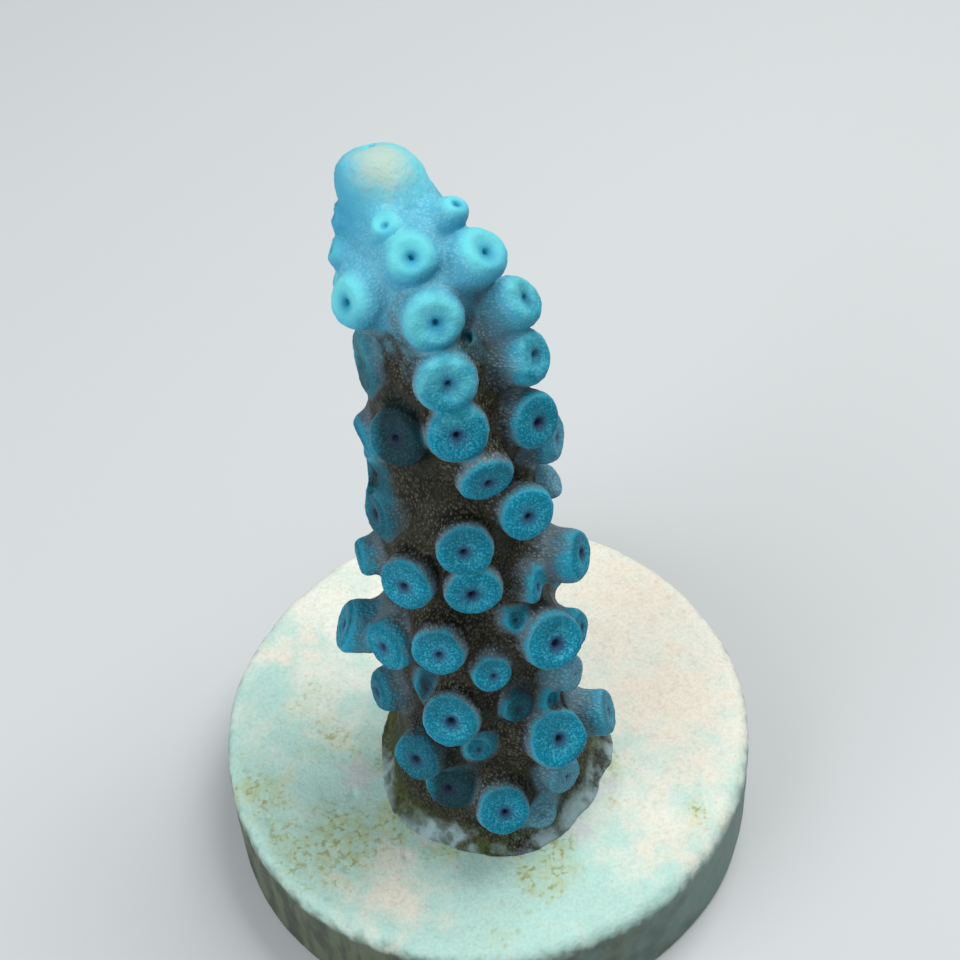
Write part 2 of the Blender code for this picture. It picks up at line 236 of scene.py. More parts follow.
class CentreLine:
    """A smooth curve through the stem's points, read by the distance along it."""

    STEPS = 24  # between two points
    REACH = 0.8

    def __init__(self, points):
        knots = np.array(points)
        knots = np.vstack([2 * knots[0] - knots[1], knots, 2 * knots[-1] - knots[-2]])
        t = np.arange(self.STEPS)[:, None] / self.STEPS
        runs = [0.5 * (2 * b + (c - a) * t + (2 * a - 5 * b + 4 * c - d) * t ** 2
                       + (3 * b - a - 3 * c + d) * t ** 3)
                for a, b, c, d in zip(knots, knots[1:], knots[2:], knots[3:])]
        self.places = np.vstack([*runs, knots[-2]])
        steps = np.linalg.norm(np.diff(self.places, axis=0), axis=1)
        self.heights = np.concatenate([[0.0], np.cumsum(steps)])
        self.length = self.heights[-1]

    def at(self, height):
        return np.stack([np.interp(height, self.heights, column) for column in self.places.T], -1)

    def axis(self, height):
        """The stem's direction, from the places a little below and a little above."""
        middle = np.clip(height, 0.0, self.length - self.REACH)
        return unit(self.at(middle + self.REACH) - self.at(middle - self.REACH))

    def frame_at(self, height):
        """The stem's direction, the way to its front and the way to its right."""
        axis = self.axis(height)
        front = np.array([0.0, -1.0, 0.0])
        front = unit(front - axis * (axis @ front)[..., None])
        return axis, front, unit(np.cross(axis, front))

    def outward(self, height, bearing):
        _, front, right = self.frame_at(height)
        angle = math.radians(bearing)
        return math.cos(angle) * front + math.sin(angle) * right

    def nearest(self, points):
        """For each point, its height along the line and its offset from the line there."""
        height = np.interp(points[:, 2], self.places[:, 2], self.heights)
        for _ in range(3):
            height = height + ((points - self.run_on(height)) * self.axis(height)).sum(1)
        return height, points - self.run_on(height)

    def run_on(self, height):
        """The line, carried on straight past its ends."""
        held = np.clip(height, 0.0, self.length)
        return self.at(held) + (height - held)[:, None] * self.axis(held)


LINE = CentreLine(STEM_POINTS)


def off_stem(height, bearing, standoff):
    """The place that is this far outside the stem's surface."""
    return LINE.at(height) + (table(STEM_RADII, height) + standoff) * LINE.outward(height, bearing)


class Tube:
    """One corallite, with its place, its directions and what makes it a little different."""

    def __init__(self, row, draw):
        height, bearing, standoff, self.diameter, lean, swing, *tone = row
        axis = LINE.axis(height)
        angle = math.radians(lean)
        turned = LINE.outward(height, bearing + swing)
        self.height, self.bearing = height, bearing
        self.radius = self.diameter / 2
        self.normal = unit(math.cos(angle) * turned + math.sin(angle) * axis)
        self.side = unit(np.cross(self.normal, axis))
        self.up = np.cross(self.side, self.normal)
        self.rim = off_stem(height, bearing, standoff)
        root_height = max(height - ROOT_DROP * standoff * math.tan(angle), LOWEST_ROOT)
        self.root = off_stem(root_height, bearing, -ROOT_DEPTH)
        self.length = (self.rim - self.root) @ self.normal
        self.bend = self.root - (self.rim - self.length * self.normal)
        self.rounding = table(EDGE_ROUNDING, height) * min(1.0, self.radius / SMALL_RADIUS)
        self.rounding *= draw.uniform(*EDGE_SHARE)
        self.edge_width = table(FACE_EDGE_WIDTHS, height)
        *zone, more = TIP_RIM_COLOUR
        least, by_standoff = SHORT_RIM_COLOUR
        # shorter at the front: painted shade on the walls there
        self.rim_colour_and_shade = min(table(RIM_COLOUR_AND_SHADE, bearing), least + by_standoff * standoff)
        self.rim_colour_and_shade += more * smooth(*zone, height)
        self.crown, self.dish = table(CROWN, height), table(DISH, height)
        usual = draw.uniform(*USUAL_TONE)
        self.tone = tone[0] if tone else usual
        self.phases = [draw.uniform(0.0, math.tau) for _ in range(4)]
        self.mark = draw.random()
        self.pore_shift = [draw.uniform(*PORE_SHIFT) for _ in range(2)]
        self.pore_size = draw.uniform(*PORE_SIZES)
        self.neck = draw.uniform(*NECKS)

    def local(self, points):
        """How far points lie outward of the rim, across the tube and round it."""
        offset = points - self.rim
        along = offset @ self.normal
        share = np.clip(-along / self.length, 0.0, BEND_END) ** 2
        x = offset @ self.side - share * (self.bend @ self.side)
        y = offset @ self.up - share * (self.bend @ self.up)
        return along, np.hypot(x, y), np.arctan2(y, x), x, y

    def wall(self, along, turn):
        """The tube's own radius."""
        lobes = sum(math.sin(phase) * np.cos(count * turn + phase)
                    for count, phase in zip(WALL_LOBES, self.phases))
        depth = np.maximum(-along / self.diameter - FLARE[0], 0.0) / FLARE[1]
        width = self.neck + (1.0 - self.neck) * np.exp(-depth * depth)
        width = width + BASE_SPREAD * smooth(BASE_FROM, 1.0, -along / self.length)
        return self.radius * (1.0 + OUT_OF_ROUND * lobes) * width

    def top(self, across):
        """How high the face lies, which falls off towards its edge."""
        return -self.crown * self.radius * (across / self.radius) ** 4

    def from_pore(self, x, y):
        """Distance from the middle of the pore, in R."""
        right, up = self.pore_shift
        return np.hypot(x / self.radius - right, y / self.radius - up)

    def solid(self, points):
        """Below 0 inside the tube as it would be with no dish and no pore."""
        along, across, turn, _, _ = self.local(points)
        return carve(across - self.wall(along, turn), along - self.top(across), self.rounding)

    def hollow(self, points):
        """Above 0 in the dish and the pore, and below 0 elsewhere."""
        along, across, turn, x, y = self.local(points)
        near = self.from_pore(x, y)
        floor = -self.dish * self.diameter * (1.0 - smooth(*DISH_REACH, near))
        floor = floor - PORE * self.diameter * (1.0 - smooth(*PORE_REACH, near / self.pore_size))
        ridges = smooth(*SEPTA_START, near) * (1.0 - smooth(*SEPTA_END, near))
        ridges = table(SEPTA_HEIGHT, self.height) * ridges
        floor = floor + ridges * np.cos(SEPTA * turn + self.phases[3])
        height = np.minimum(along - floor, DISH_REACH[1] * self.radius - across)
        return np.minimum(height, HOLLOW_TOP - along)


def back_corallites():
    """Rows for the side away from the front, on a spiral with a little variation."""
    draw = random.Random(RANDOM_SEED)
    taken = [(off_stem(*row[:3]), row[3]) for row in CORALLITES]
    rows = []
    for i in range(SPIRAL_COUNT):
        height = SPIRAL_START[0] + SPIRAL_RISE * i
        bearing = (SPIRAL_START[1] + SPIRAL_TURN * i) % 360.0
        if bearing > 180.0:
            bearing -= 360.0
        width = table(SIDE_WIDTHS, abs(bearing)) * draw.uniform(*DIAMETER_SHARE)
        reach = table(SIDE_STANDOFFS, abs(bearing)) * draw.uniform(*STANDOFF_SHARE)
        row = (height + draw.uniform(*SHIFT_ALONG), bearing + draw.uniform(*SHIFT_ROUND),
               table(BACK_STANDOFFS, height) * reach, table(BACK_DIAMETERS, height) * width,
               table(BACK_LEANS, height) + draw.uniform(*EXTRA_LEAN), draw.uniform(*SWING))
        place = off_stem(*row[:3])
        clear = all(np.linalg.norm(place - other) > SPACING * (row[3] + size) / 2
                    for other, size in taken)
        if abs(bearing) > BACK_FROM_BEARING and clear:
            rows.append(row)
            taken.append((place, row[3]))
    return rows


def foot_inset(points):
    """How far points lie inside the foot's margin."""
    out = points[:, :2] - LINE.places[0][:2]
    bearing = np.degrees(np.arctan2(out[:, 0], -out[:, 1]))
    margin = FOOT_RADIUS + sum(depth * np.cos(np.radians(count * (bearing - turn)))
                               for count, depth, turn in FOOT_LOBES)
    for size, width, seed in FOOT_RAGGEDNESS:
        margin = margin + size * lattice_noise(points * (1.0, 1.0, 0.0) / width, seed)
    return margin - np.hypot(*out.T)


def stem_field(points):
    """Below 0 inside the stem, its rounded tip and the foot."""
    height, offset = LINE.nearest(points)
    shoulder = LINE.length - TIP_DOME
    radius = table(STEM_RADII, np.minimum(height, shoulder))
    size, width, seed = STEM_UNEVENNESS
    radius = radius * (1.0 + size * lattice_noise(points / width, seed))
    _, _, right = LINE.frame_at(height)
    tilted = height + TIP_TILT * (offset * right).sum(1)
    over = np.maximum(tilted - shoulder, 0.0) / TIP_DOME
    across = np.linalg.norm(offset, axis=1) / radius
    body = (across ** TIP_BLUNTNESS + over ** TIP_BLUNTNESS) ** (1.0 / TIP_BLUNTNESS)
    body = radius * (body - 1.0)
    inset = foot_inset(points)
    thickness, *zone = FOOT_EDGE
    slope, start = FOOT_SLOPE
    top = DISC_HEIGHT + thickness * smooth(*zone, inset) + slope * np.maximum(inset - start, 0.0)
    foot = carve(points[:, 2] - top, -inset, FOOT_ROUNDING)
    return melt(body, foot, MELT_FOOT)


class Grid:
    """Evenly spaced places round the coral, and a field kept at each."""

    def __init__(self, low, high, step):
        self.low, self.step = low, step
        self.count = tuple(np.ceil((high - low) / step / STEM_GRID).astype(int) * STEM_GRID + 1)

    def places(self, first, last, every=1):
        """The places from one index to before another, as rows of points."""
        axes = [low + self.step * np.arange(a, b, every)
                for low, a, b in zip(self.low, first, last)]
        return np.stack(np.meshgrid(*axes, indexing="ij"), -1).reshape(-1, 3)

    def box_round(self, ends, reach):
        """The places round these points, and which part of the grid they are."""
        low = np.floor((np.min(ends, axis=0) - reach - self.low) / self.step).astype(int)
        high = np.ceil((np.max(ends, axis=0) + reach - self.low) / self.step).astype(int) + 1
        first, last = np.clip([low, high], 0, self.count)
        return self.places(first, last), tuple(slice(a, b) for a, b in zip(first, last))


def refined(values, times):
    """Values on a grid that is times finer, on straight lines between the given ones."""
    for axis, count in enumerate(values.shape):
        place = np.arange((count - 1) * times + 1) / times
        low = np.minimum(place.astype(int), count - 2)
        share = np.expand_dims((place - low).astype(np.float32), [i for i in range(3) if i != axis])
        values = values.take(low, axis) * (1 - share) + values.take(low + 1, axis) * share
    return values


def coral_field(grid, tubes):
    """The field of the whole coral at every place of the grid."""
    coarse = stem_field(grid.places((0, 0, 0), grid.count, STEM_GRID)).astype(np.float32)
    field = refined(coarse.reshape([(n - 1) // STEM_GRID + 1 for n in grid.count]), STEM_GRID)
    boxes = []
    together = np.full(grid.count, FAR, np.float32)
    for tube in tubes:
        places, part = grid.box_round([tube.rim, tube.root], tube.radius + MELT_STEM)
        shape = together[part].shape
        reach = MELT_TUBES + MELT_ROOTS * (1.0 - smooth(*ROOT_ZONE, field[part]))
        together[part] = melt(together[part], tube.solid(places).reshape(shape), reach)
        boxes.append((tube, places, part, shape))
    field = melt(field, together, MELT_STEM)
    for tube, places, part, shape in boxes:
        field[part] = carve(field[part], tube.hollow(places).reshape(shape), HOLLOW_ROUNDING)
    places, part = grid.box_round([LINE.at(LINE.length)], TIP_ROOM)
    height, offset = LINE.nearest(places)
    near = np.linalg.norm(offset, axis=1)
    floor = -sum(depth * (1.0 - smooth(bottom, edge, near))
                 for bottom, edge, depth in (TIP_DISH, TIP_PORE))
    opening = np.minimum(height - LINE.length - floor, TIP_DISH[1] - near)
    field[part] = carve(field[part], opening.reshape(field[part].shape), TIP_ROUNDING)
    level = grid.low[2] + grid.step * np.arange(grid.count[2])
    return carve(field, (DISC_HEIGHT - FOOT_SUNK - level).astype(np.float32), UNDER_ROUNDING)


def surface_of(field, grid):
    """Points and four-sided faces of the surface where the field is 0."""
    inside = field < 0
    spans = [(slice(0, n - 1), slice(1, n)) for n in inside.shape]
    count = sum(inside[corner].astype(np.int8) for corner in product(*spans))
    cells = np.argwhere((count > 0) & (count < 8))
    number = np.full(count.shape, -1, np.int32)
    number[tuple(cells.T)] = np.arange(len(cells))
    total, hits = np.zeros((len(cells), 3)), np.zeros((len(cells), 1))
    ways = np.eye(3, dtype=int)
    for way in ways:
        for start in np.ndindex(2, 2, 2):
            if way @ start:
                continue
            a, b = (field[tuple((cells + start + on).T)] for on in (0, way))
            crossed = (a < 0) != (b < 0)
            share = a / np.where(crossed, a - b, 1.0)
            total += crossed[:, None] * (np.array(start) + share[:, None] * way)
            hits += crossed[:, None]
    points = grid.low + grid.step * (cells + total / hits)
    faces = []
    for axis in range(3):
        _, one, two = np.roll(ways, -axis, axis=0)
        here = inside[1:-1, 1:-1, 1:-1]
        there = np.roll(inside, -1, axis)[1:-1, 1:-1, 1:-1]
        for leaves in (True, False):
            edges = np.argwhere((here != there) & (here == leaves)) + 1
            ring = [edges, edges - one, edges - one - two, edges - two]
            corners = np.stack([number[tuple(place.T)] for place in ring], 1)
            faces.append(corners if leaves else corners[:, ::-1])
    return points, np.vstack(faces)


def read_grid(field, grid, points):
    """The field at any points, on straight lines between the grid's places."""
    place = (points - grid.low) / grid.step
    low = np.clip(np.floor(place).astype(int), 0, np.array(grid.count) - 2)
    return sum(weight * field[tuple((low + corner).T)]
               for corner, weight in cell_corners(place - low))


def settle(field, grid, points):
    """Move points the short way on to the surface."""
    reach = 0.5 * grid.step
    for _ in range(SETTLE_TURNS):
        value = read_grid(field, grid, points)
        slope = np.stack([read_grid(field, grid, points + reach * way)
                          - read_grid(field, grid, points - reach * way) for way in np.eye(3)], 1)
        slope /= 2 * reach
        steep = np.maximum((slope * slope).sum(1), LEAST_SLOPE)
        move = -value[:, None] * slope / steep[:, None]
        size = np.linalg.norm(move, axis=1, keepdims=True)
        points = points + move * np.minimum(1.0, reach / np.maximum(size, 1e-9))
    return points


def point_normals(points, faces):
    corners = points[faces]
    face = np.cross(corners[:, 2] - corners[:, 0], corners[:, 3] - corners[:, 1])
    total = np.stack([np.bincount(faces.ravel(), np.repeat(face[:, i], 4), len(points))
                      for i in range(3)], 1)
    return unit(total + 1e-12)


class Reading:
    """What the looks need to know at each point of the skin."""

    def __init__(self, points, tubes):
        count = len(points)
        self.height, offset = LINE.nearest(points)
        _, front, right = LINE.frame_at(self.height)
        bearing = np.arctan2((offset * right).sum(1), (offset * front).sum(1))
        radial = np.linalg.norm(offset, axis=1)[:, None]
        turned = radial * np.stack([np.cos(bearing), np.sin(bearing)], 1)
        self.stem = np.column_stack([turned, GRAIN_STRETCH * self.height])
        # How far outside the nearest tube and the next nearest
        self.gap, self.next_gap = np.full((2, count), FAR)
        self.owner = np.full(count, -1)
        self.face, self.pore, self.reach = np.zeros((3, count))
        self.depth, self.tone = np.ones((2, count))
        self.spot, self.grain = np.zeros((2, count, 3))
        for number, tube in enumerate(tubes):
            self.read(points, tube, number)
        self.tube = 1.0 - smooth(0.0, TUBE_REACH * MELT_STEM, self.gap)
        self.apart = smooth(0.0, SEAM, self.next_gap - self.gap)
        above = points[:, 2] - DISC_HEIGHT - MARGIN_HEIGHT
        self.inset = foot_inset(points) + np.maximum(above, 0.0)

    def read(self, points, tube, number):
        ends = np.array([tube.rim, tube.root])
        room = tube.radius + MELT_STEM
        inside = (points > ends.min(0) - room) & (points < ends.max(0) + room)
        near = np.flatnonzero(inside.all(1))
        gap = tube.solid(points[near])
        self.next_gap[near] = np.minimum(self.next_gap[near], np.maximum(gap, self.gap[near]))
        closer = gap < self.gap[near]
        near, gap = near[closer], gap[closer]
        along, across, turn, x, y = tube.local(points[near])
        facing = (along - tube.top(across)) - (across - tube.wall(along, turn))
        centre = tube.from_pore(x, y)
        shown = (along > -FACE_DEPTH * tube.diameter) & (gap < FACE_GAP)
        face = smooth(-tube.edge_width, 0.7 * tube.edge_width, facing)
        self.gap[near], self.owner[near] = gap, number
        self.face[near] = np.maximum(face, 1.0 - smooth(*FACE_MIDDLE, centre)) * shown
        self.pore[near] = (1.0 - smooth(*PORE_EDGE, centre / tube.pore_size)) * shown
        self.depth[near] = -along / tube.rim_colour_and_shade
        self.reach[near], self.tone[near] = centre, tube.tone
        mark = np.full(len(near), tube.mark)
        self.spot[near] = np.stack([x / tube.radius, y / tube.radius, mark], 1)
        shift = GRAIN_SHIFT * tube.mark
        self.grain[near] = np.stack([x + shift, y + shift, GRAIN_STRETCH * along], 1)


# What the mesh keeps of the reading, for its material
NUMBERS = ("height", "tube", "face", "pore", "reach", "depth", "tone", "inset", "apart")
VECTORS = ("spot", "grain", "stem")
LAYER = "of_"  # starts the name of each
EVENED = ("face", "depth", "tone")  # evened out where two tubes meet
EVENING_TURNS = 8
SEAM = 0.3  # how close to there that is done, and the granules fade
TUBE_REACH = 0.75  # the part of the melted stretch round a tube that has the tube's colours
MARGIN_HEIGHT = 1.0  # above the disc, where the colours of the foot's margin end
FACE_DEPTH = 0.6  # nothing further down the tube is in the face's colour, in D
FACE_GAP = 0.25  # nor is anything further outside it
FACE_MIDDLE = (0.35, 0.5)  # all that is nearer the pore is, in R
GRAIN_STRETCH = 0.62  # granules are longer than they are wide
GRAIN_SHIFT = 40.0  # no two tubes have the same granules

# The meshes: the stem, and the corallites in each sector by the bearing where it starts
PIECES = ("coral_stem", "corallites_back_left", "corallites_left", "corallites_front",
          "corallites_right", "corallites_back_right")
SECTOR_STARTS = (-180.0, -90.0, -25.0, 25.0, 90.0)
TUBE_SHARE = 0.3  # a face further outside a tube than this belongs to the stem
ROUGHENING = ((0.025, 1.1, 4), (0.022, 0.45, 5), (0.026, 0.21, 6))  # height, width, seed
ROUGH_FROM = 0.3  # above the disc's top they have their whole height


def added(name, data):
    """A new object in the scene."""
    thing = bpy.data.objects.new(name, data)
    bpy.context.collection.objects.link(thing)
    return thing


def added_mesh(name, points, faces, material):
    """An object with a smooth surface, from points in millimetres."""
    mesh = bpy.data.meshes.new(name)
    mesh.from_pydata((np.array(points) * MM).tolist(), [], faces)
    mesh.validate()
    mesh.shade_smooth()
    mesh.materials.append(material)
    return added(name, mesh)


def mesh_piece(name, points, faces, normals, layers, material):
    """The part of the skin that has these faces, with its normals and its layers of values."""
    used, local = np.unique(faces, return_inverse=True)
    piece = added_mesh(name, points[used], local.reshape(faces.shape).tolist(), material)
    for layer, values in layers.items():
        values = values[used].astype(np.float32)
        kind, key = ("FLOAT_VECTOR", "vector") if values.ndim == 2 else ("FLOAT", "value")
        piece.data.attributes.new(layer, kind, "POINT").data.foreach_set(key, values.ravel())
    piece.data.normals_split_custom_set_from_vertices(normals[used].tolist())
    return piece


def evened(values, faces, share):
    """Values drawn a few times towards their neighbours' mean, by each point's own share."""
    corners = faces.ravel()
    count = np.maximum(np.bincount(corners, minlength=len(values)), 1)
    for _ in range(EVENING_TURNS):
        mean = np.bincount(corners, np.repeat(values[faces].mean(1), 4), len(values)) / count
        values = values + share * (mean - values)
    return values


def make_coral(material):
    draw = random.Random(RANDOM_SEED + 1)
    tubes = [Tube(row, draw) for row in [*CORALLITES, *back_corallites()]]
    low, high = (np.array(corner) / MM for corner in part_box("coral_branch"))
    low[2] = DISC_HEIGHT - FOOT_SUNK
    grid = Grid(low - GRID_MARGIN, high + GRID_MARGIN, GRID_STEP)
    field = coral_field(grid, tubes)
    points, faces = surface_of(field, grid)
    points = settle(field, grid, points)
    reading = Reading(points, tubes)
    for name in EVENED:
        setattr(reading, name, evened(getattr(reading, name), faces, 1.0 - reading.apart))
    normals = point_normals(points, faces)
    above = smooth(0.0, ROUGH_FROM, points[:, 2] - DISC_HEIGHT)
    for size, width, seed in ROUGHENING:
        bumps = size * above * (1.0 - reading.pore) * lattice_noise(points / width, seed)
        points = points + bumps[:, None] * normals
    normals = point_normals(points, faces)
    layers = {LAYER + name: getattr(reading, name) for name in (*NUMBERS, *VECTORS)}
    sector = np.digitize([tube.bearing for tube in tubes], SECTOR_STARTS)
    on_tube = (reading.gap[faces].mean(1) < TUBE_SHARE) & (reading.owner[faces[:, 0]] >= 0)
    sector = np.where(on_tube, sector[reading.owner[faces[:, 0]]], 0)
    for number, name in enumerate(PIECES):
        piece = mesh_piece(name, points, faces[sector == number], normals, layers, material)
        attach(piece, "root")
        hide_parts("coral_branch")


def srgb(red, green, blue):
    """A colour given in 0 to 255 as it looks on a screen, as the shader takes it."""
    values = [c / 255 for c in (red, green, blue)]
    return (*[c / 12.92 if c <= 0.04045 else ((c + 0.055) / 1.055) ** 2.4 for c in values], 1.0)


class Shader:
    """A material whose nodes are added one by one."""

    def __init__(self, name, specular=0.5):
        self.material = bpy.data.materials.new(name)
        self.material.use_nodes = True
        self.tree = self.material.node_tree
        self.principled = self.tree.nodes["Principled BSDF"]
        self.principled.inputs["Specular IOR Level"].default_value = specular

    def node(self, kind, inputs, **settings):
        """Add a node, and give back its outputs."""
        node = self.tree.nodes.new("ShaderNode" + kind)
        for key, value in settings.items():
            setattr(node, key, value)
        for key, value in inputs.items():
            if isinstance(value, bpy.types.NodeSocket):
                self.tree.links.new(value, node.inputs[key])
            else:
                node.inputs[key].default_value = value
        return node.outputs

    def layer(self, name, output="Fac"):
        """What the mesh keeps under this name."""
        return self.node("Attribute", {}, attribute_name=LAYER + name)[output]

    def place(self):
        """The point's place in millimetres."""
        return self.times(self.node("TexCoord", {})["Object"], 1 / MM)

    def parts(self, vector):
        return self.node("SeparateXYZ", {0: vector})

    def vector(self, operation, a, b=(0.0, 0.0, 0.0), output=0):
        return self.node("VectorMath", {0: a, 1: b}, operation=operation)[output]

    def distance(self, a, b):
        return self.vector("DISTANCE", a, b, "Value")

    def times(self, vector, factor):
        """A colour or a place multiplied by a number."""
        return self.node("VectorMath", {0: vector, "Scale": factor}, operation="SCALE")[0]

    def math(self, operation, value, *others):
        """What comes of one value, or of several taken together from first to last."""
        for other in others or (0.0,):
            value = self.node("Math", {0: value, 1: other}, operation=operation)[0]
        return value

    def product(self, *values):
        return self.math("MULTIPLY", *values)

    def total(self, *values):
        return self.math("ADD", *values)

    def mix(self, factor, a, b):
        """Number a where factor is 0 and b where it is 1."""
        return self.node("Mix", {0: factor, 2: a, 3: b})[0]

    def blend(self, factor, a, b):
        """The same with colours."""
        return self.node("Mix", {0: factor, 6: a, 7: b}, data_type="RGBA")[2]

    def layered(self, colour, *layers):
        """A colour with others laid over it in turn, each given after how much of it shows."""
        for share, over in layers:
            colour = self.blend(share, colour, over)
        return colour

    def step(self, value, low, high, first=0.0, last=1.0):
        """An even curve from first at low to last at high."""
        inputs = {"Value": value, "From Min": low, "From Max": high, "To Min": first, "To Max": last}
        return self.node("MapRange", inputs, interpolation_type="SMOOTHSTEP")[0]

    def ragged(self, value, noise, reach):
        """A value moved up where the noise is high and down where it is low, by up to reach."""
        return self.total(value, self.step(noise, 0.3, 0.7, -reach, reach))

    def noise(self, where, scale, detail, output="Fac"):
        return self.node("TexNoise", {"Vector": where, "Scale": scale, "Detail": detail})[output]

    def bent(self, where, scale, reach):
        """Places moved sideways by noise, so that round patches lose their shape."""
        move = self.vector("SUBTRACT", self.noise(where, scale, 1.5, "Color"), (0.5, 0.5, 0.5))
        return self.vector("ADD", where, self.vector("MULTIPLY", move, (reach, reach, 0.0)))

    def grains(self, where, scale):
        """Granules with narrow gaps between them, and a value of its own for each."""
        cells = self.node("TexVoronoi", {"Vector": where, "Scale": scale})
        return self.step(cells["Distance"], 0.62, 0.22), self.parts(cells["Color"])["X"]

    def patches(self, place, spots):
        """How strongly a point on the disc's top lies in any of the patches."""
        found = 0.0
        for x, y, radius, strength in spots:
            away = self.distance(place, (x, y, DISC_HEIGHT))
            found = self.math("MAXIMUM", found, self.step(away, radius * 1.5, 0.0, 0.0, strength))
        return found

    def finish(self, colour, roughness, height, distance):
        """Join the colour, the roughness and a relief whose distance is in millimetres."""
        bump = self.node("Bump", {"Distance": distance * MM, "Height": height})[0]
        for name, socket in (("Base Color", colour), ("Roughness", roughness), ("Normal", bump)):
            self.tree.links.new(socket, self.principled.inputs[name])
        return self.material


# Colours as they look on a screen
FACE_DARK = srgb(4, 118, 146)
# painted shade, and weaker pigment, on a face's upper half
FACE_SHADE = srgb(34, 72, 82)
FACE_GRAIN = srgb(52, 176, 200)
# pale rays, and the painted highlight round each face's rim
FACE_RAYS_AND_HIGHLIGHT = srgb(124, 220, 234)
PORE_HALO = srgb(46, 84, 118)
PORE_DARK = srgb(38, 46, 72)
WALL_RIM = srgb(34, 148, 176)
WALL_RIM_GRAIN = srgb(80, 184, 208)
WALL_MAUVE = srgb(92, 112, 121)
WALL_MAUVE_GRAIN = srgb(140, 158, 168)
WALL_PALE = srgb(82, 128, 146)
WALL_PALE_GRAIN = srgb(120, 162, 178)
STEM_DARK = srgb(30, 29, 24)
STEM_OLIVE = srgb(43, 43, 33)
STEM_GRAIN = srgb(110, 110, 92)
DULL_DARK = srgb(15, 25, 25)
DULL_GRAIN = srgb(36, 47, 44)
TIP_WALL = srgb(88, 172, 200)
TIP_PALE = srgb(138, 200, 214)
TIP_FACE = srgb(106, 206, 216)
# blue round the pore of the tip's faces, partly painted shade in the dish
TIP_CENTRE_BLUE_AND_SHADE = srgb(44, 140, 184)
TIP_SHADE = srgb(50, 146, 184)
# a peach-toned painted highlight near the tip's top
TIP_PEACH_HIGHLIGHT = srgb(180, 191, 174)
ALGAE = srgb(78, 86, 46)
ALGAE_DARK = srgb(50, 54, 30)
MARGIN = srgb(146, 170, 176)
MARGIN_DARK = srgb(94, 110, 106)
CELLS = 7.2  # granules to the millimetre
FACE_CELLS = 8.2
# Tubes that reach far to either side of this keep their wall's colour down to the root, as
# painted light on the walls to either side
STEM_MIDDLE = -0.6
# Where the painted highlight sits, near the top of the tip
TIP_HIGHLIGHT_PLACE = LINE.at(38.0) + 1.6 * LINE.outward(38.0, 24.0)
SHADE_PLACE = LINE.at(36.6) + 2.0 * LINE.outward(36.6, -70.0)


